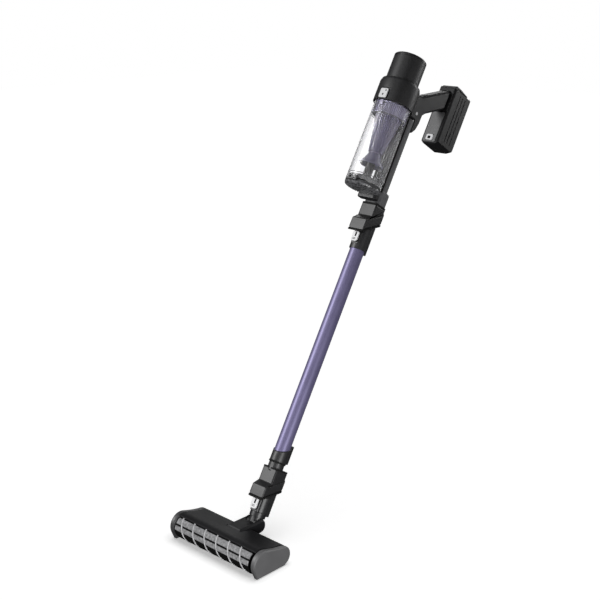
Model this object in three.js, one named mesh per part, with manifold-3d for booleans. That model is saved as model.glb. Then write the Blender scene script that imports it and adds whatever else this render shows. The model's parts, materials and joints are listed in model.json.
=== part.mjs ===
// A cordless stick vacuum as separate solids, in millimetres, +Z up, floor at z = 0.
// The origin is the middle of the glide strip under the head. The head faces -Y, +X runs along its width.
// The stick leans back over its neck pivot, and everything on it is drawn in the stick's own frame:
// x across, y to the rear of the stick, z up along it, from the neck pivot.
import * as THREE from "three";
import { mergeVertices } from "three/addons/utils/BufferGeometryUtils.js";
import Module from "manifold-3d";

const wasm = await Module();
wasm.setup();

// ---------------------------------------------------------------- driving dimensions
const LEAN = THREE.MathUtils.degToRad(31); // how far the stick leans back at rest
const PIVOT = { y: 54, z: 33.3 }; // neck pivot, behind the head
const GAP = 0.3; // left between pieces that touch

// Head
const HEAD_HALF = 125;
const CAP_THICK = 12;
const CAP_INNER = HEAD_HALF - CAP_THICK;
const FRONT_ROUND = { y: -41.7, z: 28.3, r: 27.1 };
const REAR_ROUND = { y: 12.9, z: 22.2, r: 20.5 };
const CROWN_TURN = 1.25; // radians from the rear, where the front round leaves the shallow dip
const DIP = { y: -6.9, z: 45.3 };
const CHIN_Y = -59.3; // front corner of the end caps, on the floor side
const CAP_BOTTOM = 0.8;
const HEAD_SKIN = 2;
const COVER_LIP_Y = -52; // front edge of the top cover, over the roller
const COVER_SPLIT_Z = 10; // height where the cover meets the lower housing
const ROLLER = { y: -42.5, z: 26.2, nap: 25, fin: 26.2, tube: 17.5 };
const PULLEY_R = 11.7; // pulley on the roller's right end
const NAP_HALF = 104;
const FIN_HALF = 103;
const FIN_TURNS = 3; // turns of each fin over the length of the roller
const HOUSING_FLOOR = 3.6; // underside of the lower housing, over the sole plate
const AXLE = { r: 5, inner: CAP_INNER - 8 }; // roller stubs on the end caps
const BELT_BAY_X = 105.5;
const DRIVE = { y: 0, z: 25 }; // brush motor axis
const WHEEL = { x: 70, y: 18.5, r: 8, half: 4, stub: 1.6 };

// Stick
const TUBE_R = 16.1;
const TUBE_WALL = 1.2;
const PLUG_R = 14.3; // plug ends of the neck and the wand
const BORE_R = 11.5; // air way through the fittings
const KNUCKLE = { r: 13.5, stem: 14.4, socket: 17.2, well: 15, top: 26 };
const EAR = { inner: 14.9, outer: 21, r: 15 };
const FOOT = { sleeve: 136, top: 167.5 };
const WAND_TOP = { bottom: 614, plug: 660, tip: 704 };

// Cup and motor, round a common axis in front of the duct
const CUP = { y: -57.4, r: 40, wall: 2, bottom: 741, top: 920.5 };
const COLLAR = { r: 44.6, inner: 41.4, bottom: 921, top: 974 };
const LATCH = { z: 933.5, seat: CUP.y - COLLAR.r + 4, half: 10 };
const MOTOR = { r: 36, wall: 2.5, top: 1028, cap: 1035 };
const DUCT = { r: 17, wall: 2.5, flat: 16.2 };
const LID_HINGE = { y: CUP.y - CUP.r - 2.6, z: 739, r: 2.6, pin: 1.4 };

// Handle and battery
const GRIP = { y: 17, z: 961.8, rise: THREE.MathUtils.degToRad(33.5), half: 19.5, wide: 15.5 };
const SHELL_END_Y = 96;
const BATTERY = { front: 99.5, back: 169, half: 23, bottom: 910, top: 1046.8, wall: 3 };

// ---------------------------------------------------------------- finishes
const FINISH = {
  black: { color: 0x1c1c1e, roughness: 0.5, metalness: 0 },
  grey: { color: 0x4b4c4f, roughness: 0.5, metalness: 0 },
  white: { color: 0xe9e9ea, roughness: 0.35, metalness: 0 },
  clear: { color: 0xd6d8dc, roughness: 0.1, metalness: 0, transparent: true, opacity: 0.3 },
  purple: { color: 0x6f6a96, roughness: 0.35, metalness: 0 },
  anodised: { color: 0x7f79a6, roughness: 0.35, metalness: 0.8 },
  steel: { color: 0xb4b6ba, roughness: 0.35, metalness: 1 },
  rubber: { color: 0x141414, roughness: 0.9, metalness: 0 },
  felt: { color: 0x303033, roughness: 1, metalness: 0 },
  nap: { color: 0x18181a, roughness: 1, metalness: 0 },
  bristle: { color: 0xb9babd, roughness: 0.9, metalness: 0 },
  filter: { color: 0xe3e1da, roughness: 1, metalness: 0 },
  board: { color: 0x1f5a38, roughness: 0.6, metalness: 0 },
};

// ---------------------------------------------------------------- solids
const Z_TO_X = new THREE.Matrix4().makeBasis(
  new THREE.Vector3(0, 1, 0),
  new THREE.Vector3(0, 0, 1),
  new THREE.Vector3(1, 0, 0),
);

function solid(geometry) {
  const source = geometry.index ? geometry.toNonIndexed() : geometry;
  const bare = new THREE.BufferGeometry().setAttribute("position", source.getAttribute("position"));
  const merged = mergeVertices(bare, 1e-4);
  const made = new wasm.Manifold(
    new wasm.Mesh({
      numProp: 3,
      vertProperties: merged.attributes.position.array,
      triVerts: new Uint32Array(merged.index.array),
    }),
  );
  return made;
}

function surface(made) {
  const mesh = made.getMesh();
  const geometry = new THREE.BufferGeometry();
  geometry.setAttribute("position", new THREE.BufferAttribute(mesh.vertProperties, 3));
  geometry.setIndex(new THREE.BufferAttribute(mesh.triVerts, 1));
  return geometry;
}

function join(...geometries) {
  return surface(geometries.map(solid).reduce((a, b) => a.add(b)));
}

function cut(base, ...tools) {
  return surface(tools.map(solid).reduce((a, b) => a.subtract(b), solid(base)));
}

function keep(a, b) {
  return surface(solid(a).intersect(solid(b)));
}

// A box between two corners.
function block(x0, x1, y0, y1, z0, z1) {
  const box = new THREE.BoxGeometry(x1 - x0, y1 - y0, z1 - z0);
  return box.translate((x0 + x1) / 2, (y0 + y1) / 2, (z0 + z1) / 2);
}

// A round rod along z.
function rod(radius, z0, z1, y = 0, sides = 28) {
  const round = new THREE.CylinderGeometry(radius, radius, z1 - z0, sides);
  return round.rotateX(Math.PI / 2).translate(0, y, (z0 + z1) / 2);
}

// A round rod along x, its axis at (y, z).
function rodX(radius, x0, x1, y, z, sides = 24) {
  const round = new THREE.CylinderGeometry(radius, radius, x1 - x0, sides);
  return round.rotateZ(Math.PI / 2).translate((x0 + x1) / 2, y, z);
}

// A round rod along y, its axis at (x, z).
function rodY(radius, y0, y1, z, sides = 16) {
  const round = new THREE.CylinderGeometry(radius, radius, y1 - y0, sides);
  return round.translate(0, (y0 + y1) / 2, z);
}

// A closed outline of [radius, height] points turned round the z axis.
function turned(outline, y = 0, sides = 32) {
  const area = outline.reduce((sum, [r, z], i) => {
    const [r2, z2] = outline[(i + 1) % outline.length];
    return sum + r * z2 - r2 * z;
  }, 0);
  const ordered = area > 0 ? outline : [...outline].reverse();
  const points = [...ordered, ordered[0]].map(([r, z]) => new THREE.Vector2(r, z));
  const lathe = new THREE.LatheGeometry(points, sides);
  return lathe.rotateX(Math.PI / 2).translate(0, y, 0);
}

// A plain tube along z.
function tube(outer, inner, z0, z1, y = 0, sides = 32) {
  return turned([[inner, z0], [outer, z0], [outer, z1], [inner, z1]], y, sides);
}

function roundRect(x0, x1, y0, y1, r) {
  const shape = new THREE.Shape();
  shape.moveTo(x0 + r, y0);
  shape.lineTo(x1 - r, y0);
  shape.absarc(x1 - r, y0 + r, r, -Math.PI / 2, 0, false);
  shape.absarc(x1 - r, y1 - r, r, 0, Math.PI / 2, false);
  shape.absarc(x0 + r, y1 - r, r, Math.PI / 2, Math.PI, false);
  shape.absarc(x0 + r, y0 + r, r, Math.PI, 1.5 * Math.PI, false);
  return shape;
}

// A shape in the x-y plane raised from z0 to z1, with its edges rounded inside the outline.
function raised(shape, z0, z1, round = 0, curve = 2) {
  const geometry = new THREE.ExtrudeGeometry(shape, {
    depth: z1 - z0 - 2 * round,
    curveSegments: curve,
    bevelEnabled: round > 0,
    bevelThickness: round,
    bevelSize: round,
    bevelOffset: -round,
    bevelSegments: 1,
  });
  return geometry.translate(0, 0, z0 + round);
}

// A shape in the y-z plane drawn out along x.
function drawnX(shape, x0, x1, round = 0, curve = 5) {
  return raised(shape, x0, x1, round, curve).applyMatrix4(Z_TO_X);
}

function outline(points) {
  return new THREE.Shape(points.map(([a, b]) => new THREE.Vector2(a, b)));
}

// Leans a band over, so that its rear stands higher than its front.
function slanted(geometry, slope, from) {
  const position = geometry.getAttribute("position");
  for (let i = 0; i < position.count; i += 1) {
    position.setZ(i, position.getZ(i) + slope * (position.getY(i) - from));
  }
  return geometry;
}

// A strip wound round the z axis: deep across its radius, wide along z.
function wound(radius, deep, wide, length, turns, start, steps) {
  const strip = new THREE.BoxGeometry(deep, wide, length, 1, 1, steps).toNonIndexed();
  const position = strip.getAttribute("position");
  for (let i = 0; i < position.count; i += 1) {
    const along = position.getZ(i);
    const angle = start - (2 * Math.PI * turns * along) / length;
    const r = radius + position.getX(i);
    position.setXYZ(i, r * Math.cos(angle), r * Math.sin(angle), along + position.getY(i));
  }
  return strip;
}

// A spring that pushes a button outwards along -y, from y0 (button) to y1 (seat).
function buttonSpring(y0, y1, z, turns = 3) {
  const wire = 0.5;
  const coil = wound(1.6, wire, wire, y1 - y0 - wire - 0.3, turns, 0, turns * 6);
  return coil.rotateX(-Math.PI / 2).translate(0, (y0 + y1) / 2, z);
}

// ---------------------------------------------------------------- assembly
const vacuum = new THREE.Group();
const head = new THREE.Group();
const stick = new THREE.Group();
const grip = new THREE.Group();
stick.position.set(0, PIVOT.y, PIVOT.z);
stick.rotation.x = -LEAN;
grip.position.set(0, GRIP.y, GRIP.z);
grip.rotation.x = GRIP.rise;
stick.add(grip);
vacuum.add(head, stick);

function place(parent, name, finish, geometry) {
  geometry.computeVertexNormals();
  const mesh = new THREE.Mesh(geometry, new THREE.MeshStandardMaterial(FINISH[finish]));
  mesh.name = name;
  parent.add(mesh);
}

// ---------------------------------------------------------------- head
// The side outline of the head: flat sole, round rear, a shallow dip and a round front over the roller.
function headOutline(inset = 0) {
  const front = FRONT_ROUND;
  const rear = REAR_ROUND;
  const bottom = CAP_BOTTOM + inset;
  const corner = Math.hypot(CHIN_Y - front.y, CAP_BOTTOM - front.z);
  const toCorner = Math.atan2(CAP_BOTTOM - front.z, CHIN_Y - front.y) + 2 * Math.PI;
  const touch = toCorner - Math.acos(front.r / corner);
  const shape = new THREE.Shape();
  shape.moveTo(CHIN_Y + inset * 0.6, bottom);
  shape.lineTo(rear.y + 5, bottom);
  shape.absarc(rear.y, rear.z, rear.r - inset, -1.25, 1.45, false);
  const round = front.r - inset;
  const crown = [front.y + round * Math.cos(CROWN_TURN), front.z + round * Math.sin(CROWN_TURN)];
  shape.quadraticCurveTo(DIP.y, DIP.z - inset, ...crown);
  shape.absarc(front.y, front.z, round, CROWN_TURN, touch, false);
  return shape;
}

function headSolid(inset, x0, x1) {
  return drawnX(headOutline(inset), x0, x1);
}

function topCover() {
  const skin = headSolid(0, -CAP_INNER + GAP, CAP_INNER - GAP);
  const inside = headSolid(HEAD_SKIN, -HEAD_HALF, HEAD_HALF);
  const below = block(-130, 130, -100, 60, -5, COVER_SPLIT_Z);
  const front = block(-130, 130, -100, COVER_LIP_Y, -5, 80);
  const yokeSeat = drawnX(yokeOutline(GAP), -EAR.outer - GAP, EAR.outer + GAP);
  return cut(skin, inside, below, front, yokeSeat);
}

function lowerHousing() {
  const core = headSolid(HEAD_SKIN + GAP, -CAP_INNER + GAP, BELT_BAY_X);
  const tray = keep(
    headSolid(0, -CAP_INNER + GAP, BELT_BAY_X),
    block(-130, 130, -30, 60, HOUSING_FLOOR, COVER_SPLIT_Z - GAP),
  );
  const chamber = rodX(ROLLER.fin + 1, -130, 130, ROLLER.y, ROLLER.z, 40);
  const front = block(-130, 130, -100, ROLLER.y + 14, -5, 80);
  const below = block(-130, 130, -100, 60, -5, HOUSING_FLOOR);
  const throat = block(-95, 30, ROLLER.y + 20, -6, -5, 16);
  const motorBay = rodX(13.4, 36, 100, DRIVE.y, DRIVE.z);
  const shaftWay = rodX(4, 99, 110, DRIVE.y, DRIVE.z, 16);
  const ductBay = rodY(11, -20, 60, 24);
  const yokeSeat = drawnX(yokeOutline(GAP), -EAR.outer - GAP, EAR.outer + GAP);
  const wheelPockets = [-1, 1].flatMap((side) => wheelPocket(side * WHEEL.x));
  const emptyBays = [block(-108, -14, -12, 5, 19, 80), block(-108, -14, 4, 24, 20, 80)];
  const trimmed = cut(join(core, tray), chamber, front, below, yokeSeat);
  return cut(trimmed, throat, motorBay, shaftWay, ductBay, ...wheelPockets, ...emptyBays);
}

function wheelPocket(x) {
  const round = WHEEL.r + 1;
  const room = join(
    rodX(round, x - WHEEL.half - 1, x + WHEEL.half + 1, WHEEL.y, WHEEL.r),
    block(x - WHEEL.half - 1, x + WHEEL.half + 1, WHEEL.y - round, WHEEL.y + round, -5, WHEEL.r),
  );
  const bearing = rodX(WHEEL.stub + 0.08, x - WHEEL.half - 4.5, x + WHEEL.half + 4.5, WHEEL.y, WHEEL.r, 12);
  return [room, bearing];
}

// A small wheel with its stub axles.
function wheel(x) {
  const tread = rodX(WHEEL.r, x - WHEEL.half, x + WHEEL.half, WHEEL.y, WHEEL.r, 20);
  const axle = rodX(WHEEL.stub, x - WHEEL.half - 4, x + WHEEL.half + 4, WHEEL.y, WHEEL.r, 12);
  return join(tread, axle);
}

function solePlate() {
  const plate = block(-CAP_INNER + GAP, CAP_INNER - GAP, -13, 17, 1.3, 3.3);
  const slot = (x) => block(x - 5.5, x + 5.5, 9, 31, 0, 5);
  return cut(plate, slot(-WHEEL.x), slot(WHEEL.x));
}

function endCap(side) {
  const plate = drawnX(headOutline(), CAP_INNER, HEAD_HALF, 2.4);
  const stub = rodX(AXLE.r, AXLE.inner, CAP_INNER + 2, ROLLER.y, ROLLER.z, 24);
  const cap = join(plate, stub);
  return side > 0 ? cap : surface(solid(cap).mirror([1, 0, 0]));
}

// The fairing that rises from the cover and ends in the two round ears of the neck pivot.
function yokeOutline(grow = 0) {
  const shape = new THREE.Shape();
  shape.moveTo(-9 - grow, 41.5 - grow);
  shape.lineTo(26, 24 - grow);
  shape.lineTo(PIVOT.y - 6, PIVOT.z - 14 - grow);
  shape.absarc(PIVOT.y, PIVOT.z, EAR.r + grow, -2, 1.9, false);
  shape.lineTo(-2, 48.5 + grow);
  return shape;
}

function pivotYoke() {
  const body = drawnX(yokeOutline(), -EAR.outer, EAR.outer, 4, 8);
  const mouth = block(-EAR.inner, EAR.inner, PIVOT.y - KNUCKLE.stem - 0.8, PIVOT.y + 40, -20, 80);
  const bearing = rodX(5.08, -18, 18, PIVOT.y, PIVOT.z, 20);
  const airWay = rodY(8, 20, 60, 31);
  return cut(body, mouth, bearing, airWay);
}

// The roller's core: a bearing plug at each end, the right one with a pulley for the belt.
function rollerTube() {
  const inner = ROLLER.tube - 2.5;
  const bore = AXLE.r + 0.1;
  const plug = CAP_INNER - 19;
  const left = CAP_INNER - 2;
  const shoulder = CAP_INNER - 8;
  const right = CAP_INNER - 0.6;
  const profile = [
    [bore, -left], [ROLLER.tube, -left], [ROLLER.tube, shoulder], [PULLEY_R, shoulder], [PULLEY_R, right],
    [bore, right], [bore, plug], [inner, plug], [inner, -plug], [bore, -plug],
  ];
  return aboutRoller(turned(profile, 0, 20));
}

// Turns a piece drawn along z into place along the roller's axis.
function aboutRoller(geometry) {
  return geometry.rotateY(Math.PI / 2).translate(0, ROLLER.y, ROLLER.z);
}

function rollerNap() {
  return aboutRoller(tube(ROLLER.nap, ROLLER.tube + GAP, -NAP_HALF, NAP_HALF));
}

// One of two thin helical fins wound over the nap.
function rollerFin(start) {
  const deep = ROLLER.fin - ROLLER.nap - GAP - 0.1;
  return aboutRoller(wound(ROLLER.fin - deep / 2, deep, 1, 2 * FIN_HALF, FIN_TURNS, start, 60));
}

function driveBelt() {
  const loop = (grow) => {
    const big = { y: ROLLER.y, z: ROLLER.z, r: 12 + grow };
    const small = { y: DRIVE.y, z: DRIVE.z, r: 6 + grow };
    const away = Math.atan2(small.z - big.z, small.y - big.y);
    const wrap = Math.acos((big.r - small.r) / Math.hypot(small.y - big.y, small.z - big.z));
    const path = new THREE.Shape();
    path.absarc(big.y, big.z, big.r, away + wrap, away - wrap + 2 * Math.PI, false);
    path.absarc(small.y, small.z, small.r, away - wrap, away + wrap, false);
    return path;
  };
  const belt = loop(1.2);
  belt.holes.push(new THREE.Path(loop(0).getPoints(7)));
  return drawnX(belt, 107, 111.6, 0, 7);
}

place(head, "felt_strip", "felt", block(-100, 100, -6, 6, 0, 1));
place(head, "sole_plate", "black", solePlate());
place(head, "head_chassis", "black", lowerHousing());
place(head, "head_top_cover", "black", topCover());
place(head, "pivot_yoke", "black", pivotYoke());
place(head, "end_cap_left", "grey", endCap(-1));
place(head, "end_cap_right", "grey", endCap(1));
place(head, "wheel_left", "rubber", wheel(-WHEEL.x));
place(head, "wheel_right", "rubber", wheel(WHEEL.x));
place(head, "roller_tube", "black", rollerTube());
place(head, "roller_nap", "nap", rollerNap());
place(head, "roller_fin_a", "bristle", rollerFin(0));
place(head, "roller_fin_b", "bristle", rollerFin(Math.PI));
place(
  head,
  "brush_motor",
  "steel",
  cut(rodX(13, 38, 98, DRIVE.y, DRIVE.z), rodX(1.6, 80, 99, DRIVE.y, DRIVE.z, 12)),
);
place(
  head,
  "brush_motor_pulley",
  "steel",
  join(rodX(5.7, 106.6, 112, DRIVE.y, DRIVE.z, 20), rodX(1.5, 82, 107, DRIVE.y, DRIVE.z, 12)),
);
place(head, "drive_belt", "rubber", driveBelt());

// ---------------------------------------------------------------- neck
function knuckle() {
  const barrel = rodX(KNUCKLE.r, -EAR.inner + GAP, EAR.inner - GAP, 0, 0);
  const trunnions = rodX(5, -17.6, 17.6, 0, 0, 20);
  const stem = rod(KNUCKLE.stem, 0, 18);
  const socket = rod(KNUCKLE.socket, EAR.r + 0.6, KNUCKLE.top);
  const well = rod(KNUCKLE.well, 18, 30, 0, 56);
  const airWay = rod(9, -4, 20, 0, 16);
  const inlet = rodY(7.5, -30, 0, 0, 12).rotateX(LEAN);
  return cut(join(barrel, trunnions, stem, socket), well, airWay, inlet);
}

// The neck: a swivel end, a body with a flat front for the clip and a rib behind, and a plug.
function neckTube() {
  const swivel = rod(KNUCKLE.well - 0.08, 18.4, 40, 0, 56);
  const shank = rod(16.6, KNUCKLE.top + GAP, 58);
  const plug = rod(PLUG_R, 50, 100);
  const clipSeat = raised(roundRect(-11, 11, -19, 0, 4), KNUCKLE.top + GAP, 56);
  const socketRoom = rod(KNUCKLE.socket + 0.4, 0, KNUCKLE.top + GAP);
  const rib = cut(raised(roundRect(-8, 8, 8, 28, 3), 21, 77), socketRoom);
  const bore = rod(BORE_R, 0, 120);
  return cut(join(swivel, shank, plug, clipSeat, rib), bore, springWell(42));
}

// The well behind a release clip, open to the front.
function springWell(z) {
  return rodY(2.3, -22, -16.8, z, 16);
}

// A release clip: a tongue with a round lower end.
function releaseClip(bottom, top) {
  const tongue = roundRect(-8.5, 8.5, bottom, top, 5.5);
  const plate = raised(tongue, 0, 3.4, 0.8, 3).rotateX(Math.PI / 2);
  return plate.translate(0, -20.9, 0);
}

place(stick, "neck_knuckle", "black", knuckle());
place(stick, "neck_tube", "black", neckTube());
place(stick, "neck_clip", "white", releaseClip(30, 54));
place(stick, "neck_clip_spring", "steel", buttonSpring(-20.8, -16.9, 42));

// ---------------------------------------------------------------- wand
// The socket at the end of a fitting: a slanted collar that reaches forwards over the clip, and a narrower
// body above it. front, back and neckFront are measured from the stick's axis.
function socketBody({ half, front, back, neckFront, bottom, height, top, slope }) {
  const low = bottom + slope * (back - front);
  const side = outline([
    [front, bottom], [back, low], [back, low + height - 3], [back - 3, low + height],
    [back - 3, top], [neckFront, top], [neckFront, bottom + height + 11], [front, bottom + height],
  ]);
  const groove = (x) => {
    const strip = slanted(block(x - 1.4, x + 1.4, -18, 40, 0, 2), slope, front);
    return strip.translate(0, 0, bottom + height - 3);
  };
  return cut(drawnX(side, -half, half, 2), groove(-half), groove(half));
}

const FOOT_SOCKET = {
  half: 19.5, front: -29, back: 25, neckFront: -16, bottom: 56, height: 23, top: 121, slope: 0.5,
};
const INLET_SOCKET = {
  half: 20.5, front: -31, back: 21, neckFront: -17, bottom: 652, height: 25, top: 716, slope: 0.6,
};

function wandFootFitting() {
  const throat = rod(16.6, 115, 140);
  const overTop = slanted(block(-30, 30, -40, 60, FOOT.top - 3, 230), 0.45, 0);
  const sleeve = cut(rod(17.8, FOOT.sleeve, 190), overTop);
  const rib = raised(roundRect(-8, 8, 8, 27, 3), FOOT.sleeve, FOOT.top + 9);
  const plugBore = rod(PLUG_R + GAP, 40, 101);
  const airWay = rod(BORE_R, 90, 140);
  const tubeBore = rod(TUBE_R + GAP, 130, 200);
  const ribWay = raised(roundRect(-8.4, 8.4, 8, 28.4, 3), 40, 78);
  return cut(join(socketBody(FOOT_SOCKET), throat, sleeve, rib), plugBore, airWay, tubeBore, ribWay);
}

function wandTopFitting() {
  const sleeve = rod(18.8, WAND_TOP.bottom, WAND_TOP.plug);
  const plug = rod(PLUG_R, WAND_TOP.plug - 10, WAND_TOP.tip);
  const clipSeat = raised(roundRect(-11, 11, -19, 0, 4), 624, 650);
  const rib = raised(roundRect(-8, 8, 8, 25, 3), 610, 674);
  const tubeBore = rod(TUBE_R + GAP, 590, 640.4);
  const airWay = rod(BORE_R, 630, 720);
  return cut(join(sleeve, plug, clipSeat, rib), tubeBore, airWay, springWell(638));
}

place(stick, "wand_tube", "anodised", tube(TUBE_R, TUBE_R - TUBE_WALL, 130.3, 640, 0, 32));
place(stick, "wand_foot_fitting", "black", wandFootFitting());
place(stick, "wand_top_fitting", "black", wandTopFitting());
place(stick, "wand_wire", "rubber", rod(1.2, 133, 636, 12.6, 8));
place(stick, "wand_clip", "white", releaseClip(627, 650));
place(stick, "wand_clip_spring", "steel", buttonSpring(-20.8, -16.9, 638));

// ---------------------------------------------------------------- inlet and duct
function inletSocket() {
  const plugBore = rod(PLUG_R + GAP, 640, 705);
  const airWay = rod(BORE_R, 690, 730);
  const sleeveWay = rod(19.2, 640, WAND_TOP.plug + GAP);
  const ribWay = raised(roundRect(-8.4, 8.4, 8, 25.4, 3), 640, 674.4);
  return cut(socketBody(INLET_SOCKET), plugBore, airWay, sleeveWay, ribWay);
}

function spineDuct() {
  const bottom = INLET_SOCKET.top + GAP;
  const pipe = rod(DUCT.r, bottom, 920.5, 0, 32);
  const foot = raised(roundRect(-19, 19, -16.6, 20, 9), bottom, 750, 3);
  const bore = rod(DUCT.r - DUCT.wall, 700, 912);
  const flat = block(-30, 30, DUCT.flat, 40, 752, 930);
  const port = block(-9, 9, -30, -8, 884, 908);
  return cut(join(pipe, foot), bore, flat, port);
}

place(stick, "inlet_socket", "black", inletSocket());
place(stick, "spine_duct", "black", spineDuct());

// ---------------------------------------------------------------- collar, motor and exhaust
function mainCollar() {
  const ring = turned(
    [
      [COLLAR.inner, COLLAR.bottom], [COLLAR.r, COLLAR.bottom], [COLLAR.r, COLLAR.top - 7],
      [COLLAR.r - 2.5, COLLAR.top], [20, COLLAR.top], [20, COLLAR.top - 3], [COLLAR.inner, COLLAR.top - 3],
    ],
    CUP.y,
    36,
  );
  const boss = block(-14, 14, LATCH.seat - 0.5, CUP.y - COLLAR.inner + 5, COLLAR.bottom, COLLAR.top - 2);
  const bossFront = keep(boss, rod(COLLAR.r - 0.5, COLLAR.bottom, COLLAR.top, CUP.y, 36));
  const pocket = block(-13, 13, -120, LATCH.seat, LATCH.z - 11.2, LATCH.z + 13);
  return cut(join(ring, bossFront), pocket);
}

function cupLatch() {
  const tile = raised(roundRect(-LATCH.half, LATCH.half, LATCH.z - 10.5, LATCH.z + 10.5, 3), 0, 3, 0.7);
  return tile.rotateX(Math.PI / 2).translate(0, LATCH.seat - 1.6, 0);
}

function motorHousing() {
  const inner = MOTOR.r - MOTOR.wall;
  return turned(
    [
      [inner, COLLAR.top + GAP], [MOTOR.r, COLLAR.top + GAP], [MOTOR.r, MOTOR.top], [inner, MOTOR.top],
    ],
    CUP.y,
    36,
  );
}

function exhaustCap() {
  const { r, top, cap } = MOTOR;
  const skirt = r - MOTOR.wall - 0.5;
  return turned(
    [
      [0, cap - 2.5], [skirt - 2, cap - 2.5], [skirt - 2, top - 8], [skirt, top - 8],
      [skirt, top + GAP], [r, top + GAP], [r, cap - 2], [r - 2, cap], [0, cap],
    ],
    CUP.y,
    36,
  );
}

function suctionMotor() {
  return turned([[0, 1010], [0, 1006], [2.8, 1006], [2.8, 986], [28, 986], [28, 1010]], CUP.y, 24);
}

function impeller() {
  const disc = turned([[0, 977], [10, 977], [26, 982], [26, 984.5], [0, 984.5]], CUP.y, 24);
  return join(disc, rod(2.5, 980, 1004, CUP.y, 16));
}

place(stick, "main_collar", "black", mainCollar());
place(stick, "cup_latch", "white", cupLatch());
place(stick, "cup_latch_spring", "steel", buttonSpring(LATCH.seat - 1.6, LATCH.seat, LATCH.z, 1));
place(stick, "pre_filter", "filter", tube(35.5, 8, 940, 962, CUP.y, 24));
place(stick, "motor_housing", "black", motorHousing());
place(stick, "motor_mount", "rubber", tube(33.1, 28.4, 1000, 1007, CUP.y, 24));
place(stick, "suction_motor", "steel", suctionMotor());
place(stick, "impeller", "grey", impeller());
place(stick, "exhaust_cap", "black", exhaustCap());
place(stick, "exhaust_filter", "filter", tube(30, 12, 1012, 1026, CUP.y, 20));

// ---------------------------------------------------------------- dust cup
function dustCup() {
  const wall = tube(CUP.r, CUP.r - CUP.wall, CUP.bottom, CUP.top, CUP.y, 32);
  const ear = (x0, x1) => join(
    rodX(LID_HINGE.r, x0, x1, LID_HINGE.y, LID_HINGE.z, 16),
    block(x0, x1, LID_HINGE.y, CUP.y - CUP.r + 1.4, LID_HINGE.z + 2.1, LID_HINGE.z + 9),
    block(x0, x1, LID_HINGE.y - 1, LID_HINGE.y + 1.2, LID_HINGE.z, LID_HINGE.z + 6),
  );
  const port = block(-9, 9, -30, 0, 884, 908);
  const pin = rodX(LID_HINGE.pin + 0.02, -20, 20, LID_HINGE.y, LID_HINGE.z, 16);
  return cut(join(wall, ear(-12, -6.3), ear(6.3, 12)), port, pin);
}

function cupLid() {
  const plate = rod(CUP.r, 737, CUP.bottom - GAP, CUP.y, 32);
  const rim = tube(35.5, 33, CUP.bottom - 1, 754, CUP.y, 32);
  const tongue = join(
    rodX(LID_HINGE.r, -6, 6, LID_HINGE.y, LID_HINGE.z, 16),
    block(-6, 6, LID_HINGE.y, CUP.y - CUP.r + 3, 737, CUP.bottom - GAP),
  );
  const pin = rodX(LID_HINGE.pin + 0.08, -20, 20, LID_HINGE.y, LID_HINGE.z, 16);
  const catchSlot = block(-4, 4, -33, -26, 730, 739);
  return cut(join(plate, rim, tongue), pin, catchSlot);
}

// A wide ring under the collar, open at the inlet, and a tapered column below it.
function cycloneBody() {
  const column = turned(
    [
      [36.2, 895], [37.6, 895], [37.6, 920], [17, 920], [10, 812], [12, 812], [19, 908], [36.2, 908],
    ],
    CUP.y,
    32,
  );
  return cut(column, block(-9, 9, -30, -10, 884, 907.5));
}

// The catch block under the lid, next to the inlet.
function lidLatch() {
  const body = raised(roundRect(-24, 24, -38, -19.8, 5), 721, 736.6, 1.5);
  return join(body, block(-3.4, 3.4, -31, -26.6, 730, 738.6));
}

place(stick, "dust_cup", "clear", dustCup());
place(
  stick,
  "cup_hinge_pin",
  "steel",
  rodX(LID_HINGE.pin - 0.02, -11.5, 11.5, LID_HINGE.y, LID_HINGE.z, 16),
);
place(stick, "cup_lid", "grey", cupLid());
place(stick, "lid_seal", "rubber", tube(37.6, 35.8, CUP.bottom, CUP.bottom + 2, CUP.y, 32));
place(stick, "lid_latch", "black", lidLatch());
place(stick, "cyclone_body", "purple", cycloneBody());
place(
  stick,
  "cyclone_shroud",
  "purple",
  turned(
    [[27, 907.7], [28.5, 907.7], [28.5, 893], [15.5, 814], [14, 814], [27, 893]],
    CUP.y,
    32,
  ),
);
place(
  stick,
  "cyclone_skirt",
  "purple",
  turned([[10.5, 811.7], [13.5, 811.7], [27, 789], [27, 786.5], [25, 786.5], [10.5, 806]], CUP.y, 32),
);
place(stick, "fine_dust_tube", "black", tube(9.6, 8, 758, 811.4, CUP.y, 24));

// ---------------------------------------------------------------- handle
// A point of the grip's own frame in the stick's frame: [y, z].
function gripPoint(along, up) {
  const c = Math.cos(GRIP.rise);
  const s = Math.sin(GRIP.rise);
  return [GRIP.y + along * c - up * s, GRIP.z + along * s + up * c];
}

// Where a line of the grip at a given height over its middle crosses the end of the shells.
function gripEnd(up) {
  const along = (SHELL_END_Y - GRIP.y + up * Math.sin(GRIP.rise)) / Math.cos(GRIP.rise);
  return gripPoint(along, up);
}

function handleOutline() {
  return outline([
    [-20, COLLAR.bottom + GAP], [6, COLLAR.bottom + GAP], [6, 893], [19, 898], [27, 908], [31, 922],
    [32, 945], gripPoint(15, -GRIP.half), gripEnd(-GRIP.half), gripEnd(GRIP.half), gripPoint(4, GRIP.half),
    [-6, 977], [-20, 977],
  ]);
}

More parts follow.
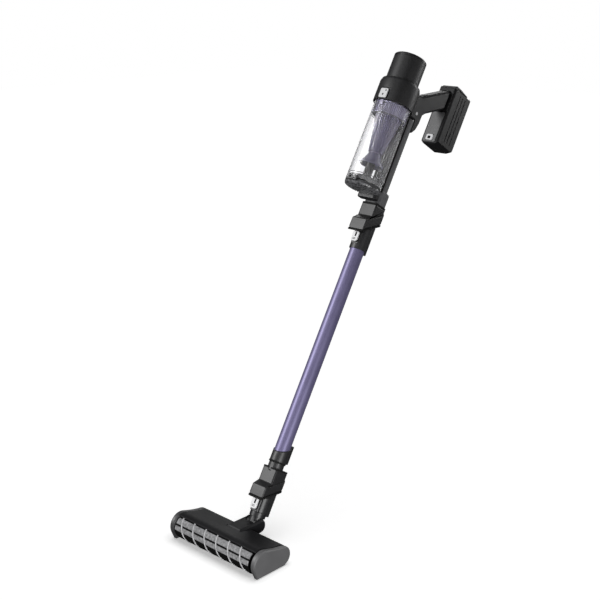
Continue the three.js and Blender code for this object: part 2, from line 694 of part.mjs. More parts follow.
function handleShell(side) {
  const whole = drawnX(handleOutline(), -GRIP.wide, GRIP.wide, 5);
  const collarRoom = rod(COLLAR.r + 0.4, 880, 1000, CUP.y, 32);
  const ductRoom = rod(DUCT.r + 0.4, 880, 920.9, 0, 40);
  const cavity = block(-12, 12, 6, 84, -14.5, 14.5).rotateX(GRIP.rise).translate(0, GRIP.y, GRIP.z);
  const triggerRoom = block(-6.8, 6.8, 23, 50, 922, 952);
  const buttonRoom = rod(7.3, 16, 40, 26, 24).rotateX(GRIP.rise).translate(0, GRIP.y, GRIP.z);
  const other = side > 0 ? block(-40, 0.15, -60, 200, 800, 1200) : block(-0.15, 40, -60, 200, 800, 1200);
  return cut(whole, collarRoom, ductRoom, cavity, triggerRoom, buttonRoom, other);
}

function trigger() {
  const side = outline([[27.4, 924], [32, 923.4], [37.5, 930], [37, 946], [33, 950], [27.4, 950]]);
  return drawnX(side, -6, 6, 1);
}

function batteryDock() {
  const front = SHELL_END_Y + GAP;
  const inner = BATTERY.front - 0.4;
  const top = BATTERY.top + GAP;
  const side = outline([
    [front, 989], [inner, 989], [inner, top], [152, top], [152, 1050], [122, 1053], [104, 1053],
    [front, 1045],
  ]);
  return drawnX(side, -20, 20);
}

place(stick, "handle_shell_left", "black", handleShell(-1));
place(stick, "handle_shell_right", "black", handleShell(1));
place(stick, "trigger", "black", trigger());
place(stick, "trigger_spring", "steel", buttonSpring(23.2, 27.2, 938));
place(stick, "battery_dock", "black", batteryDock());
place(grip, "control_board", "board", block(-9, 9, 20, 74, -4, -2.4));
place(grip, "power_button", "grey", rod(7, 17.6, 20.6, 26, 24));

// ---------------------------------------------------------------- battery
function batteryOutline(inset = 0) {
  const { half, front, back } = BATTERY;
  const shape = new THREE.Shape();
  const edge = half - inset;
  const near = front + inset;
  const far = back - inset;
  const nose = 5 - inset * 0.5;
  const tail = 8 - inset;
  shape.moveTo(-edge + nose, near);
  shape.lineTo(edge - nose, near);
  shape.absarc(edge - nose, near + nose, nose, -Math.PI / 2, 0, false);
  shape.absarc(edge - tail, far - tail, tail, 0, Math.PI / 2, false);
  shape.absarc(-edge + tail, far - tail, tail, Math.PI / 2, Math.PI, false);
  shape.absarc(-edge + nose, near + nose, nose, Math.PI, 1.5 * Math.PI, false);
  return shape;
}

const CHARGE_Y = 130;
const BATTERY_LATCH = { bottom: 917, top: 931, half: 9 };

function batteryCase() {
  const outer = raised(batteryOutline(), BATTERY.bottom, BATTERY.top, 3, 3);
  const inner = raised(batteryOutline(BATTERY.wall), BATTERY.bottom + 22, BATTERY.top + 5, 0, 2);
  const shelf = block(-14, 14, BATTERY.front + 1, BATTERY.front + 6.5, BATTERY.bottom + 2, 936);
  const latchRoom = block(-10, 10, 80, BATTERY.front + 4, BATTERY_LATCH.bottom - 1, BATTERY_LATCH.top + 1);
  const chamfer = block(-40, 40, -60, 60, -20, 0);
  const frontCut = chamfer.clone().rotateX(-0.6).translate(0, BATTERY.front - 2, BATTERY.bottom + 4);
  const rearCut = chamfer.clone().rotateX(0.8).translate(0, BATTERY.back, BATTERY.bottom + 15);
  const middle = (BATTERY.front + BATTERY.back) / 2;
  const sideCuts = [-1, 1].map((side) =>
    chamfer.clone().rotateY(-side * 0.8).translate(side * BATTERY.half, middle, BATTERY.bottom + 7),
  );
  const socketHole = rod(4.3, BATTERY.bottom - 1, BATTERY.bottom + 13, CHARGE_Y, 16);
  const groove = (x, y) => block(x - 0.9, x + 0.9, y, y + 4, BATTERY.bottom + 16, BATTERY.top - 10);
  const grooves = [-1, 1].flatMap((side) => [120, 131, 142].map((y) => groove(side * BATTERY.half, y)));
  const shell = join(cut(outer, inner), shelf);
  return cut(shell, latchRoom, frontCut, rearCut, ...sideCuts, socketHole, ...grooves);
}

function batteryFace() {
  const plate = raised(roundRect(-17, 17, 914, 986, 4), 0, 1.9, 0.5).rotateX(Math.PI / 2);
  const window = block(-9.6, 9.6, 80, 110, BATTERY_LATCH.bottom - 0.6, BATTERY_LATCH.top + 0.6);
  return cut(plate.translate(0, BATTERY.front - 0.3, 0), window);
}

function cellBlock() {
  const cells = [-9.1, 9.1].flatMap((x) =>
    [116, 134.2, 152.4].map((y) => rod(9.25, 940, 1005, y, 12).translate(x, 0, 0)),
  );
  return keep(join(...cells), raised(batteryOutline(BATTERY.wall + 0.5), 930, 1010));
}

function batteryLatch() {
  const { bottom, top, half } = BATTERY_LATCH;
  const tile = raised(roundRect(-half, half, bottom, top, 3), 0, 4, 0.8).rotateX(Math.PI / 2);
  return tile.translate(0, BATTERY.front - 0.2, 0);
}

function chargeSocket() {
  const body = rod(4, BATTERY.bottom + 0.5, BATTERY.bottom + 12.6, CHARGE_Y, 16);
  return cut(body, rod(2.6, BATTERY.bottom - 1, BATTERY.bottom + 9, CHARGE_Y, 12));
}

place(stick, "battery_case", "black", batteryCase());
place(stick, "battery_face", "grey", batteryFace());
place(stick, "cell_block", "steel", cellBlock());
place(stick, "charge_socket", "rubber", chargeSocket());
place(stick, "battery_latch", "white", batteryLatch());
place(stick, "battery_latch_spring", "steel", buttonSpring(BATTERY.front - 0.1, BATTERY.front + 3.9, 924));

export default vacuum;
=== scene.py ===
import json
import math

import bmesh
import bpy
from mathutils import Matrix, Vector, noise


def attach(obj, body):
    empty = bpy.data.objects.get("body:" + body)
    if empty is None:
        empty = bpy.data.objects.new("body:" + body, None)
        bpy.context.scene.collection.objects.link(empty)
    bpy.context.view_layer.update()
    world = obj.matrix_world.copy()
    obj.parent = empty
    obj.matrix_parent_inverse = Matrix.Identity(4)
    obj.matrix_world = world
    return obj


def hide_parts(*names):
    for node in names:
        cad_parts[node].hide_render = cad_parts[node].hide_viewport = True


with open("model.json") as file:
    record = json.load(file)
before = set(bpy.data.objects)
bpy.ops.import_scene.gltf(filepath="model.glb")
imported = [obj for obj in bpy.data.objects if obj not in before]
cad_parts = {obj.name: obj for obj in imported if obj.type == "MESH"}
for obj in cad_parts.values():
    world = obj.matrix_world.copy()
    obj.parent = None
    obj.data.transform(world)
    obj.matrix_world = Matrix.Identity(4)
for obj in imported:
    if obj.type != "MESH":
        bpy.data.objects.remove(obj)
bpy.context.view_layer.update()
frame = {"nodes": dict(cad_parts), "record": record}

MM = 0.001
PIVOT = (0, 0.054, 0.0333)
LEAN = math.radians(31)
STICK = Matrix.Translation(PIVOT) @ Matrix.Rotation(-LEAN, 4, "X") @ Matrix.Scale(MM, 4)
HEAD = Matrix.Scale(MM, 4)

# On the stick: radii, heights along it, the cup's axis, and the faces that carry marks, in millimetres.
TUBE_BORE, TUBE_R = 14.9, 16.1
TUBE_ENDS = (130.3, 640)
CUP_V = -57.4
CUP_R = 40.0
CUP_WALL_R, CUP_RIM_R = CUP_R - 2, CUP_R - 3
CUP_BOTTOM, CUP_TOP = 741, 920
EXHAUST_TOP = 1034.6
HANDLE_SIDE = 15.2
LATCH_FACE = -103
BATTERY_LATCH_FACE = 94.9
CLIP_FACE = -25

# On the roller: its axis, its two ends, radii and unevenness in millimetres, and turns in degrees.
ROLLER = Vector((0, -42.5, 26.2))
NAP_LEFT, NAP_RIGHT = -110, 106
NAP_R, NAP_FLUFF = 24.7, 0.35
BAND_R, BAND_FLUFF, BAND_INSET = 25.3, 0.3, 0.6
BANDS = ((116, 145), (154, 176))
STRIP_LENGTH, STRIP_TURN = 206, 1080
STRIP_R, STRIP_TOOTH = 26.15, 0.4
PILE_INNER_R, STRIP_INNER_R = 24.2, 24.4

EDGE_DEFAULT_MM = 0.45

# The floor and the camera, in metres.
FLOOR_HALF = 8
CAMERA_PLACE = (1.5028, -1.4014, 1.1413)
CAMERA_AZIMUTH, CAMERA_ELEVATION = math.radians(43.32), math.radians(16.63)


# ---------------------------------------------------------------- finishes
def finish(name, base, roughness, metallic=0.0, grain=1400, depth=0.12, mottle=0.15, patch=30, **sockets):
    """A surface with faint uneven colour, patchy gloss and a fine grain."""
    material = bpy.data.materials.new(name)
    material.use_nodes = True
    tree = material.node_tree
    shader = tree.nodes["Principled BSDF"]
    shader.inputs["Metallic"].default_value = metallic
    for socket, value in sockets.items():
        shader.inputs[socket.replace("_", " ")].default_value = value
    place = tree.nodes.new("ShaderNodeTexCoord")
    patches = tree.nodes.new("ShaderNodeTexNoise")
    patches.inputs["Scale"].default_value = patch
    patches.inputs["Detail"].default_value = 5
    tint = tree.nodes.new("ShaderNodeValToRGB")
    tint.color_ramp.elements[0].position = 0.3
    tint.color_ramp.elements[1].position = 0.7
    tint.color_ramp.elements[0].color = [c * (1 - mottle) for c in base] + [1]
    tint.color_ramp.elements[1].color = [c * (1 + mottle) for c in base] + [1]
    gloss = tree.nodes.new("ShaderNodeMapRange")
    gloss.inputs["To Min"].default_value = roughness * 0.88
    gloss.inputs["To Max"].default_value = min(1, roughness * 1.12)
    fine = tree.nodes.new("ShaderNodeTexNoise")
    fine.inputs["Scale"].default_value = grain
    fine.inputs["Detail"].default_value = 2
    bump = tree.nodes.new("ShaderNodeBump")
    bump.inputs["Strength"].default_value = depth
    bump.inputs["Distance"].default_value = 0.0002
    link = tree.links.new
    link(place.outputs["Object"], patches.inputs["Vector"])
    link(place.outputs["Object"], fine.inputs["Vector"])
    link(patches.outputs["Fac"], tint.inputs["Fac"])
    link(tint.outputs["Color"], shader.inputs["Base Color"])
    link(patches.outputs["Fac"], gloss.inputs["Value"])
    link(gloss.outputs["Result"], shader.inputs["Roughness"])
    link(fine.outputs["Fac"], bump.inputs["Height"])
    link(bump.outputs["Normal"], shader.inputs["Normal"])
    return material


BLACK = finish("moulded_black", (0.008, 0.008, 0.009), 0.44)
COVER_BLACK = finish(
    "cover_black", (0.006, 0.006, 0.007), 0.55, grain=900, depth=0.25, Specular_IOR_Level=0.25,
)
SPECKLED = finish(
    "speckled_black", (0.016, 0.016, 0.017), 0.45, grain=700, depth=0.35, mottle=0.5, patch=400,
)
GRIP_BLACK = finish("grip_black", (0.008, 0.008, 0.009), 0.5, grain=900, depth=0.3, Specular_IOR_Level=0.35)
# The duct's own grey, darkened as painted shade for the shadow under the cup latch.
DUCT_GREY_AND_SHADE = finish("duct_grey_and_painted_shade", (0.085, 0.085, 0.09), 0.55, grain=900, depth=0.3, mottle=0.3, patch=300)
GREY = finish("moulded_grey", (0.05, 0.05, 0.052), 0.45)
# The right end cap gets a lighter grey than the left cap: painted light on its shaded outer face.
END_GREY_PAINTED_LIGHT = finish("end_cap_grey_painted_light", (0.085, 0.085, 0.087), 0.5, mottle=0.06)
FACE_GREY = finish(
    "battery_face_grey", (0.09, 0.09, 0.092), 0.5, grain=700, depth=0.3, mottle=0.25, patch=300,
)
WHITE = finish("smooth_white", (0.55, 0.55, 0.56), 0.4, mottle=0.02, depth=0.03)
LILAC = finish("pale_lilac", (0.32, 0.3, 0.4), 0.35, mottle=0.04, depth=0.03)
TUBE = finish(
    "anodised_purple", (0.14, 0.125, 0.235), 0.46, metallic=0.35, grain=2600, depth=0.06, mottle=0.06,
)
PURPLE = finish("tinted_purple", (0.06, 0.054, 0.1), 0.25, mottle=0.12, depth=0.04)
RING_PURPLE = finish("ring_purple", (0.13, 0.12, 0.19), 0.3, mottle=0.12, depth=0.04)
DEEP_PURPLE = finish("deep_purple", (0.032, 0.028, 0.062), 0.3, mottle=0.12, depth=0.04)
RUBBER = finish(
    "matte_rubber", (0.005, 0.005, 0.005), 0.85, grain=1800, depth=0.25, Specular_IOR_Level=0.25,
)
STEEL = finish("plain_steel", (0.55, 0.56, 0.58), 0.32, metallic=1.0, mottle=0.06, depth=0.05)
BOARD = finish("board_green", (0.02, 0.11, 0.05), 0.35)
PAPER = finish("filter_paper", (0.7, 0.69, 0.64), 0.95, grain=700, depth=0.5)
LID_DARK = finish("lid_speckle", (0.1, 0.1, 0.105), 0.25, mottle=0.95, grain=400, depth=0.4, patch=170)
PILE = finish(
    "roller_pile", (0.003, 0.003, 0.003), 0.95, grain=1500, depth=0.9, mottle=0.35, patch=300,
    Specular_IOR_Level=0.1,
)
BAND = finish("light_roller_band", (0.2, 0.2, 0.205), 0.95, grain=600, depth=0.9, mottle=0.5, patch=220)
BRISTLE = finish("light_bristle", (0.42, 0.42, 0.43), 0.9, grain=2500, depth=0.7, mottle=0.3, patch=300)
FELT = finish("dark_felt", (0.03, 0.03, 0.032), 1.0, grain=1200, depth=0.8, mottle=0.3)


def clear_finish():
    """Clear moulded plastic whose colour darkens where it is seen edge on, as painted shade for the dark
    edges of its walls.
    """
    material = finish(
        "clear_plastic", (0.9, 0.9, 0.9), 0.02, mottle=0.01, depth=0.0,
        Transmission_Weight=1.0, IOR=1.05, Coat_Weight=0.9, Coat_Roughness=0.32,
    )
    tree = material.node_tree
    shader = tree.nodes["Principled BSDF"]
    facing = tree.nodes.new("ShaderNodeLayerWeight")
    facing.inputs["Blend"].default_value = 0.5
    # Painted shade: the base colour turns dark grey at grazing angles.
    edge = tree.nodes.new("ShaderNodeValToRGB")
    edge.color_ramp.elements[0].position = 0.55
    edge.color_ramp.elements[0].color = (0.97, 0.97, 0.98, 1)
    edge.color_ramp.elements[1].position = 0.97
    edge.color_ramp.elements[1].color = (0.16, 0.16, 0.18, 1)
    tree.links.new(facing.outputs["Facing"], edge.inputs["Fac"])
    tree.links.new(edge.outputs["Color"], shader.inputs["Base Color"])
    return material


CLEAR = clear_finish()

FINISHES = {
    "black_plastic": BLACK, "grey_plastic": GREY, "white_plastic": WHITE, "clear_plastic": CLEAR,
    "purple_plastic": PURPLE, "purple_tube": TUBE, "steel": STEEL, "bright_metal": STEEL,
    "rubber": RUBBER, "roller_pile": PILE, "light_bristle": BRISTLE, "felt": FELT,
    "filter_media": PAPER, "circuit_board": BOARD,
}
NODE_FINISHES = {
    "end_cap_left": GREY, "end_cap_right": END_GREY_PAINTED_LIGHT, "handle_shell_left": GRIP_BLACK,
    "handle_shell_right": GRIP_BLACK, "battery_face": FACE_GREY, "spine_duct": DUCT_GREY_AND_SHADE,
    "inlet_socket": SPECKLED, "wand_foot_fitting": SPECKLED, "main_collar": SPECKLED,
    "wand_top_fitting": SPECKLED, "neck_tube": SPECKLED, "motor_housing": SPECKLED,
    "head_top_cover": COVER_BLACK, "pivot_yoke": COVER_BLACK, "battery_case": GRIP_BLACK,
    "battery_dock": GRIP_BLACK, "cyclone_body": RING_PURPLE,
}
EDGE_MM = {
    "inlet_socket": 1.8, "wand_foot_fitting": 1.8, "battery_dock": 1.2, "spine_duct": 1, "lid_latch": 1,
}


def dress_frame():
    """Gives every CAD node its finish, smooth shading and softened edges."""
    slots = {part["node"]: part["material_slot"] for part in frame["record"]["subparts"]}
    for name, node in frame["nodes"].items():
        mesh = node.data
        mesh.materials.clear()
        mesh.materials.append(NODE_FINISHES.get(name, FINISHES[slots[name]]))
        mesh.polygons.foreach_set("use_smooth", [True] * len(mesh.polygons))
        custom = mesh.attributes.get("custom_normal")
        if custom:
            mesh.attributes.remove(custom)
        weld = node.modifiers.new("weld", "WELD")
        weld.merge_threshold = 2e-6
        planar = node.modifiers.new("planar", "DECIMATE")
        planar.decimate_type = "DISSOLVE"
        planar.angle_limit = math.radians(1.5)
        bevel = node.modifiers.new("edges", "BEVEL")
        bevel.width = EDGE_MM.get(name, EDGE_DEFAULT_MM) * MM
        bevel.segments = 3
        bevel.limit_method = "ANGLE"
        bevel.angle_limit = math.radians(34)
        bevel.use_clamp_overlap = False
        node.modifiers.new("normals", "WEIGHTED_NORMAL")


# ---------------------------------------------------------------- shapes
def piece(name, bm, place, body, material, replaces=(), sharp=35):
    """Turns a bmesh into a finished piece that rides on a body."""
    bmesh.ops.remove_doubles(bm, verts=bm.verts, dist=1e-4)
    bmesh.ops.recalc_face_normals(bm, faces=bm.faces)
    mesh = bpy.data.meshes.new(name)
    bm.to_mesh(mesh)
    bm.free()
    mesh.transform(place)
    mesh.polygons.foreach_set("use_smooth", [True] * len(mesh.polygons))
    mesh.set_sharp_from_angle(angle=math.radians(sharp))
    mesh.materials.append(material)
    obj = bpy.data.objects.new(name, mesh)
    bpy.context.scene.collection.objects.link(obj)
    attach(obj, body)
    if replaces:
        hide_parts(*replaces)


def grid(bm, rows, closed_rows, closed_columns):
    """Skins rows of points with four-sided faces and returns the rows of vertices."""
    made = [[bm.verts.new(point) for point in row] for row in rows]
    count, width = len(made), len(made[0])
    for i in range(count if closed_rows else count - 1):
        for j in range(width if closed_columns else width - 1):
            a, b = made[i], made[(i + 1) % count]
            k = (j + 1) % width
            bm.faces.new((a[j], b[j], b[k], a[k]))
    return made


def capped(bm, rows):
    """Skins rows of closed sections and caps the first and the last."""
    made = grid(bm, rows, False, True)
    bm.faces.new(made[0])
    bm.faces.new(made[-1])


def arc_points(radius, start, end, count, centre=(0, 0)):
    """Points on a circle between two angles in degrees."""
    points = []
    for i in range(count + 1):
        angle = math.radians(start + (end - start) * i / count)
        points.append((centre[0] + radius * math.cos(angle), centre[1] + radius * math.sin(angle)))
    return points


def turned(bm, profile, v=0.0, segments=96, start=0, end=360):
    """A closed (radius, s) profile turned round an axis along the stick. Angles are from +x to +v."""
    whole = end - start >= 360
    rows = []
    for i in range(segments if whole else segments + 1):
        angle = math.radians(start + (end - start) * i / segments)
        rows.append([(r * math.cos(angle), v + r * math.sin(angle), s) for r, s in profile])
    if whole:
        grid(bm, rows, True, True)
    else:
        capped(bm, rows)
    return bm


def outlined(bm, outline, low, high, slope=0.0, origin=0.0, bevel=0.4, facing=False):
    """An (x, v) outline raised along s, or an (x, s) one raised along v when facing. Its edges are eased,
    and it leans by slope along v."""
    levels = [(low, bevel), (low + bevel, 0), (high - bevel, 0), (high, bevel)]
    centre = sum((Vector(point) for point in outline), Vector((0, 0))) / len(outline)
    rows = []
    for level, inset in levels:
        row = []
        for point in outline:
            away = Vector(point) - centre
            a, b = centre + away * max(0, 1 - inset / away.length)
            row.append((a, level, b) if facing else (a, b, level + slope * (b - origin)))
        rows.append(row)
    capped(bm, rows)
    return bm


def rounded_rectangle(x0, x1, v0, v1, radius, steps=5):
    """The outline of a rectangle with an arc at each corner."""
    corners = [
        (x1 - radius, v0 + radius, -90), (x1 - radius, v1 - radius, 0),
        (x0 + radius, v1 - radius, 90), (x0 + radius, v0 + radius, 180),
    ]
    return [p for x, v, angle in corners for p in arc_points(radius, angle, angle + 90, steps, (x, v))]


# ---------------------------------------------------------------- studio
def light(name, size, energy, place, target, receivers):
    """A soft rectangular light, aimed at a target, that lights only its receivers."""
    data = bpy.data.lights.new(name, "AREA")
    data.shape = "RECTANGLE"
    data.size, data.size_y = size
    data.energy = energy
    obj = bpy.data.objects.new(name, data)
    obj.light_linking.receiver_collection = receivers
    obj.location = place
    obj.rotation_mode = "QUATERNION"
    obj.rotation_quaternion = (Vector(target) - Vector(place)).to_track_quat("-Z", "Y")
    bpy.context.scene.collection.objects.link(obj)


def backdrop():
    """A sky that is white to the camera and through clear pieces, and dim to everything else."""
    world = bpy.data.worlds.new("studio")
    world.use_nodes = True
    tree = world.node_tree
    bright = tree.nodes["Background"]
    bright.inputs["Color"].default_value = (1, 1, 1, 1)
    dim = tree.nodes.new("ShaderNodeBackground")
    dim.inputs["Color"].default_value = (1, 1, 1, 1)
    dim.inputs["Strength"].default_value = 0.03
    seen = tree.nodes.new("ShaderNodeLightPath")
    either = tree.nodes.new("ShaderNodeMath")
    either.operation = "MAXIMUM"
    choose = tree.nodes.new("ShaderNodeMixShader")
    tree.links.new(seen.outputs["Is Camera Ray"], either.inputs[0])
    tree.links.new(seen.outputs["Is Transmission Ray"], either.inputs[1])
    tree.links.new(either.outputs["Value"], choose.inputs["Fac"])
    tree.links.new(dim.outputs["Background"], choose.inputs[1])
    tree.links.new(bright.outputs["Background"], choose.inputs[2])
    tree.links.new(choose.outputs["Shader"], tree.nodes["World Output"].inputs["Surface"])
    bpy.context.scene.world = world


def pale_floor():
    """A large pale floor that glows a little and isn't seen in reflections."""
    mesh = bpy.data.meshes.new("floor")
    corners = [
        (-FLOOR_HALF, -FLOOR_HALF, 0), (FLOOR_HALF, -FLOOR_HALF, 0),
        (FLOOR_HALF, FLOOR_HALF, 0), (-FLOOR_HALF, FLOOR_HALF, 0),
    ]
    mesh.from_pydata(corners, [], [(0, 1, 2, 3)])
    floor = bpy.data.objects.new("floor", mesh)
    bpy.context.scene.collection.objects.link(floor)
    pale = finish("pale_floor", (0.86, 0.86, 0.86), 0.7, grain=60, depth=0.02, mottle=0.01)
    shader = pale.node_tree.nodes["Principled BSDF"]
    shader.inputs["Emission Color"].default_value = (1, 1, 1, 1)
    shader.inputs["Emission Strength"].default_value = 0.46
    mesh.materials.append(pale)
    floor.visible_diffuse = False
    floor.visible_glossy = False
    return floor


def lights(floor):
    """Soft lights for the object, and an overhead sun that lights only the floor."""
    all_but_floor = bpy.data.collections.new("all_but_floor")
    all_but_floor.objects.link(floor)
    all_but_floor.collection_objects[0].light_linking.link_state = "EXCLUDE"
    light("key", (0.9, 1.6), 120, (-1.7, -2.1, 2.1), (0, 0.2, 0.5), all_but_floor)
    light("streak", (0.3, 1.7), 6, (0.8, -1.5, 2.2), (0, 0.35, 0.72), all_but_floor)
    light("rim", (0.35, 1.8), 26, (1.1, 2.9, 1.3), (0, 0.3, 0.6), all_but_floor)
    light("side", (0.3, 0.3), 13, (1.1, -0.4, 0.16), (0.12, -0.04, 0.03), all_but_floor)
    light("back", (1.4, 1.4), 16, (-1.7, 2.7, 1.5), (0, 0.2, 0.5), all_but_floor)
    light("fill", (1.2, 1.2), 5, (2.6, 0.3, 1.3), (0, 0.3, 0.6), all_but_floor)

    overhead = bpy.data.lights.new("overhead", "SUN")
    overhead.energy = 2.1
    overhead.angle = math.radians(60)
    sun = bpy.data.objects.new("overhead", overhead)
    sun.rotation_euler = (math.radians(-8), math.radians(4), 0)
    floor_only = bpy.data.collections.new("floor_only")
    floor_only.objects.link(floor)
    sun.light_linking.receiver_collection = floor_only
    bpy.context.scene.collection.objects.link(sun)


def camera():
    """A camera ahead of the head and to its right, a little higher than the handle."""
    scene = bpy.context.scene
    obj = bpy.data.objects.new("camera", bpy.data.cameras.new("camera"))
    obj.data.lens = 67.2
    obj.data.sensor_width = 36
    obj.location = CAMERA_PLACE
    back = Vector((
        math.sin(CAMERA_AZIMUTH) * math.cos(CAMERA_ELEVATION),
        -math.cos(CAMERA_AZIMUTH) * math.cos(CAMERA_ELEVATION),
        math.sin(CAMERA_ELEVATION),
    ))
    obj.rotation_mode = "QUATERNION"
    obj.rotation_quaternion = (-back).to_track_quat("-Z", "Y")
    scene.collection.objects.link(obj)
    scene.camera = obj


# ---------------------------------------------------------------- wand
def wand():
    """The coloured tube between the two fittings."""
    low, high = TUBE_ENDS
    bm = turned(bmesh.new(), [(TUBE_BORE, low), (TUBE_R, low), (TUBE_R, high), (TUBE_BORE, high)])
    piece("wand_tube_fine", bm, STICK, "wand", TUBE, ["wand_tube"])


def socket_lip(name, body, half, front, back, bottom, slope):
    """The dark soft lip under a slanted collar."""
    outer = rounded_rectangle(-half - 0.6, half + 0.6, front - 0.8, back + 0.6, 3.5)
    bm = outlined(bmesh.new(), outer, bottom - 4.2, bottom - 0.2, slope, front, 0.8)
    piece(name, bm, STICK, body, RUBBER)


def clip_marks(name, body, top):
    """The dark slot and the two fine grip lines in a white release clip."""
    bm = bmesh.new()
    slot = rounded_rectangle(-0.4, 3.2, top - 13, top - 3, 1.5)
    outlined(bm, slot, CLIP_FACE, CLIP_FACE + 1, bevel=0.3, facing=True)
    for s in (top - 16.5, top - 19):
        line = rounded_rectangle(-4, 4, s - 0.5, s + 0.5, 0.4)
        outlined(bm, line, CLIP_FACE + 0.2, CLIP_FACE + 1, bevel=0.2, facing=True)
    piece(name, bm, STICK, body, RUBBER)


# ---------------------------------------------------------------- dust cup
def cup():
    """The clear cup, thicker at its lower rim, with hinge ears, a front tab and two fine lines inside."""
    profile = [
        (CUP_R - 1, CUP_BOTTOM), (CUP_R, CUP_BOTTOM + 1.5), (CUP_R, CUP_TOP), (CUP_WALL_R, CUP_TOP),
        (CUP_WALL_R, CUP_BOTTOM + 11), (CUP_RIM_R, CUP_BOTTOM + 9), (CUP_RIM_R, CUP_BOTTOM),
    ]
    bm = turned(bmesh.new(), profile, CUP_V, 128)
    piece("dust_cup_fine", bm, STICK, "dust_cup", CLEAR, ["dust_cup"])
    hinge = bmesh.new()
    for side in (-1, 1):
        ear = rounded_rectangle(side * 9.2 - 2.9, side * 9.2 + 2.9, -101.6, -97.2, 1.5)
        outlined(hinge, ear, 736.6, 748)
    piece("cup_hinge_ears", hinge, STICK, "dust_cup", GREY)
    outline = rounded_rectangle(-4.5, 4.5, -98.4, -96.6, 0.9)
    tab = outlined(bmesh.new(), outline, CUP_TOP - 10, CUP_TOP - 0.5, bevel=0.5)
    piece("cup_front_tab", tab, STICK, "dust_cup", LILAC)
    inner, outer = CUP_WALL_R - 0.7, CUP_WALL_R - 0.1
    for name, s in (("cup_upper_line", CUP_TOP - 28), ("cup_lower_line", CUP_BOTTOM + 15)):
        section = [(inner, s), (outer, s), (outer, s + 1.4), (inner, s + 1.4)]
        ring = turned(bmesh.new(), section, CUP_V, 96, 160, 380)
        piece(name, ring, STICK, "dust_cup", GREY)


def cyclone():
    """Inside the cup: a fluted cone, the flared skirt below it, and slats round the wide ring above."""
    bm = bmesh.new()
    rows = []
    count = 144
    for i in range(count):
        angle = 2 * math.pi * i / count
        flute = 0.0 if i % 4 else -2.2
        section = [
            (27, 907.7), (28.6, 907.7), (28.6 + flute, 893),
            (15.6 + flute * 0.6, 814), (14, 814), (26, 893),
        ]
        rows.append([(r * math.cos(angle), CUP_V + r * math.sin(angle), s) for r, s in section])
    grid(bm, rows, True, True)
    piece("cyclone_cone", bm, STICK, "dust_cup", PURPLE, ["cyclone_shroud"], sharp=20)
    profile = [
        (10.5, 811.7), (13.5, 811.7), (15.5, 805), (20, 797), (26.6, 789),
        (27, 785.5), (25.4, 785), (18, 795), (10.5, 806),
    ]
    skirt = turned(bmesh.new(), profile, CUP_V)
    piece("cyclone_flare", skirt, STICK, "dust_cup", DEEP_PURPLE, ["cyclone_skirt"])
    slats = bmesh.new()
    section = [(37.5, 896), (37.9, 896), (37.9, 918), (37.5, 918)]
    for start in range(0, 360, 6):
        turned(slats, section, CUP_V, 1, start, start + 2.4)
    piece("cyclone_ring_slats", slats, STICK, "dust_cup", DEEP_PURPLE)


def lid_dome():
    """The rounded underside of the lid, with radial ribs."""
    bm = bmesh.new()
    rows = []
    count = 144
    for i in range(count):
        angle = 2 * math.pi * i / count
        lift = 0.0 if i % 4 < 2 else 0.9
        section = [
            (1, 736.8), (39.3, 736.8), (39.6, 735.5), (38.4 - lift, 732.6), (34 - lift, 730.6 + lift),
            (22, 729.6 + lift), (20, 729.4), (1, 729.2),
        ]
        rows.append([(r * math.cos(angle), CUP_V + r * math.sin(angle), s) for r, s in section])
    grid(bm, rows, True, True)
    piece("cup_lid_dome", bm, STICK, "cup_lid", LID_DARK, sharp=25)


def duct_rails():
    """The dark rails between the duct and the cup."""
    for side, name in ((1, "right"), (-1, "left")):
        section = [(side * 12, -12.5), (side * 17.6, -10.8), (side * 19.2, -13.6), (side * 14.4, -17.2)]
        bm = outlined(bmesh.new(), section, 745, 918, bevel=0.6)
        piece(f"duct_rail_{name}", bm, STICK, "handheld", RUBBER)


# ---------------------------------------------------------------- collar, motor and handle
def latch_marks():
    """A dot and a short slot in the cup latch, and a dark pad on the battery latch."""
    bm = bmesh.new()
    for outline in (arc_points(1.7, 0, 330, 11, (5, 939)), rounded_rectangle(-1.6, 1.6, 928, 932, 0.8)):
        outlined(bm, outline, LATCH_FACE, LATCH_FACE + 0.8, bevel=0.2, facing=True)
    piece("latch_marks", bm, STICK, "cup_latch", RUBBER)
    outline = rounded_rectangle(-3.6, 3.6, 919.5, 926, 1.2)
    low, high = BATTERY_LATCH_FACE, BATTERY_LATCH_FACE + 0.7
    bm = outlined(bmesh.new(), outline, low, high, bevel=0.2, facing=True)
    piece("battery_latch_pad", bm, STICK, "battery_latch", RUBBER)


def exhaust_ribs():
    """A ring of ribs on the exhaust cap."""
    bm = bmesh.new()
    top = EXHAUST_TOP + 1.2
    section = [(16, EXHAUST_TOP), (31, EXHAUST_TOP), (30.4, top), (16.6, top)]
    for start in range(0, 360, 10):
        turned(bm, section, CUP_V, 2, start, start + 4.2)
    piece("exhaust_ribs", bm, STICK, "exhaust_lid", BLACK)


def side_screws():
    """Screw heads in the handle's right side, each a (v, s) place and a radius."""
    places = [(7, 938.6, 3.6), (4.4, 920.3, 2.2)]
    for number, (v, s, r) in enumerate(places, 1):
        bm = bmesh.new()
        rows = []
        for height, ring in ((0, r), (0.7, r), (1, r * 0.8), (0.8, r * 0.45)):
            circle = arc_points(ring, 0, 345, 23, (v, s))
            rows.append([(HANDLE_SIDE + height, a, b) for a, b in circle])
        capped(bm, rows)
        piece(f"handle_screw_{number}", bm, STICK, "handheld", WHITE)


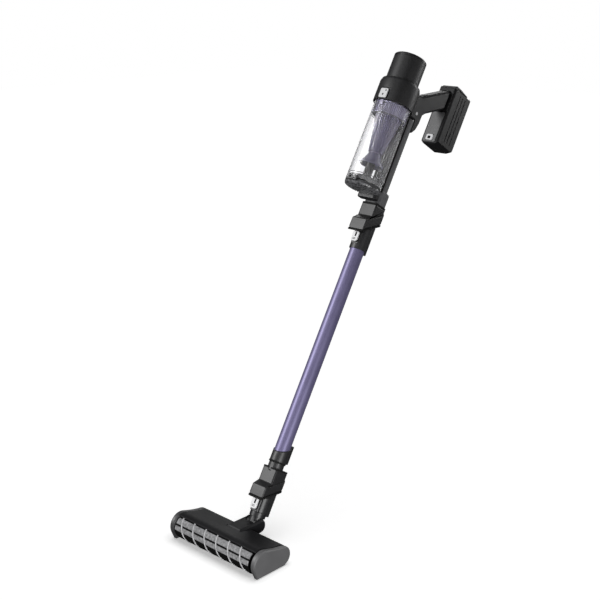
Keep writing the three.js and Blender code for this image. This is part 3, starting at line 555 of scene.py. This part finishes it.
def socket_rings():
    """Dark rings at the top of each socket, and a band round the sleeve above the foot. The inlet socket's
    ring is painted shade for the shadow under the cup latch.
    """
    bm = outlined(bmesh.new(), rounded_rectangle(-19.6, 19.6, -16.4, 22.4, 3.4), 118.4, 122.2, bevel=0.6)
    piece("foot_ring", bm, STICK, "wand", RUBBER)
    # Painted shade: a dark ring under the cup latch, where the inlet socket lies in shadow.
    bm = outlined(bmesh.new(), rounded_rectangle(-20.4, 20.4, -17.4, 18.4, 3.6), 713.8, 718.6, bevel=0.6)
    piece("inlet_painted_shade_ring", bm, STICK, "handheld", RUBBER)
    band = turned(bmesh.new(), [(17, 133), (18.3, 133), (18.3, 136.6), (17, 136.6)], 0, 64)
    piece("sleeve_band", band, STICK, "wand", RUBBER)


# ---------------------------------------------------------------- roller
def around_roller(r, degrees, x):
    """A point round the roller's axis: 0 degrees is the rear, 90 the top, 180 the front."""
    angle = math.radians(degrees)
    return ROLLER + Vector((x, r * math.cos(angle), r * math.sin(angle)))


def roller():
    """Soft pile with an uneven surface."""
    bm = bmesh.new()
    rows = []
    around, columns = 160, 134
    for i in range(around):
        degrees = 360 * i / around
        row = []
        for j in range(columns + 1):
            x = NAP_LEFT + (NAP_RIGHT - NAP_LEFT) * j / columns
            unit = around_roller(1, degrees, 0) - ROLLER
            fluff = noise.noise(Vector((x * 0.45, unit.y * 9, unit.z * 9)))
            drop = 1.2 if j in (0, columns) else 0
            row.append(around_roller(NAP_R + NAP_FLUFF * fluff - drop, degrees, x))
        rows.append(row)
    made = grid(bm, rows, True, False)
    for end in (0, -1):
        bm.faces.new([row[end] for row in made])
    piece("roller_pile_fine", bm, HEAD, "roller", PILE, ["roller_nap"], sharp=60)


def roller_bands():
    """Two lighter bands that run the length of the roller, at its upper front."""
    columns, steps = 130, 8
    low, high = NAP_LEFT + BAND_INSET, NAP_RIGHT - BAND_INSET
    for number, (start, end) in enumerate(BANDS, 1):
        bm = bmesh.new()
        rows = []
        for j in range(columns + 1):
            x = low + (high - low) * j / columns
            section = []
            for k in range(steps + 1):
                degrees = start + (end - start) * k / steps
                fluff = noise.noise(Vector((x * 0.8, degrees, 3)))
                section.append(around_roller(BAND_R + BAND_FLUFF * fluff, degrees, x))
            section += [around_roller(PILE_INNER_R, degrees, x) for degrees in (end, start)]
            rows.append(section)
        capped(bm, rows)
        piece(f"roller_band_{number}", bm, HEAD, "roller", BAND)


def bristle_strips():
    """Two light helical strips with a toothed edge."""
    steps = 420
    for letter, start in (("a", 0), ("b", 180)):
        bm = bmesh.new()
        rows = []
        for i in range(steps + 1):
            along = i / steps - 0.5
            x = STRIP_LENGTH * along
            degrees = STRIP_TURN * along - 90 - start
            tip = STRIP_R - STRIP_TOOTH * (i % 2)
            section = ((STRIP_INNER_R, -1.5), (tip, -1.1), (tip, 1.1), (STRIP_INNER_R, 1.5))
            rows.append([around_roller(r, degrees, x + aside) for r, aside in section])
        capped(bm, rows)
        fin = f"roller_fin_{letter}"
        piece(f"bristle_strip_{letter}", bm, HEAD, "roller", BRISTLE, [fin])


# ---------------------------------------------------------------- build
bpy.context.scene.view_settings.view_transform = "Standard"
dress_frame()
backdrop()
lights(pale_floor())
camera()
wand()
socket_lip("foot_lip", "wand", 19.5, -29, 25, 56, 0.5)
socket_lip("inlet_lip", "handheld", 20.5, -31, 21, 652, 0.6)
clip_marks("neck_clip_marks", "neck_clip", 54)
clip_marks("wand_clip_marks", "wand_clip", 650)
cup()
cyclone()
lid_dome()
duct_rails()
latch_marks()
exhaust_ribs()
side_screws()
socket_rings()
roller()
roller_bands()
bristle_strips()
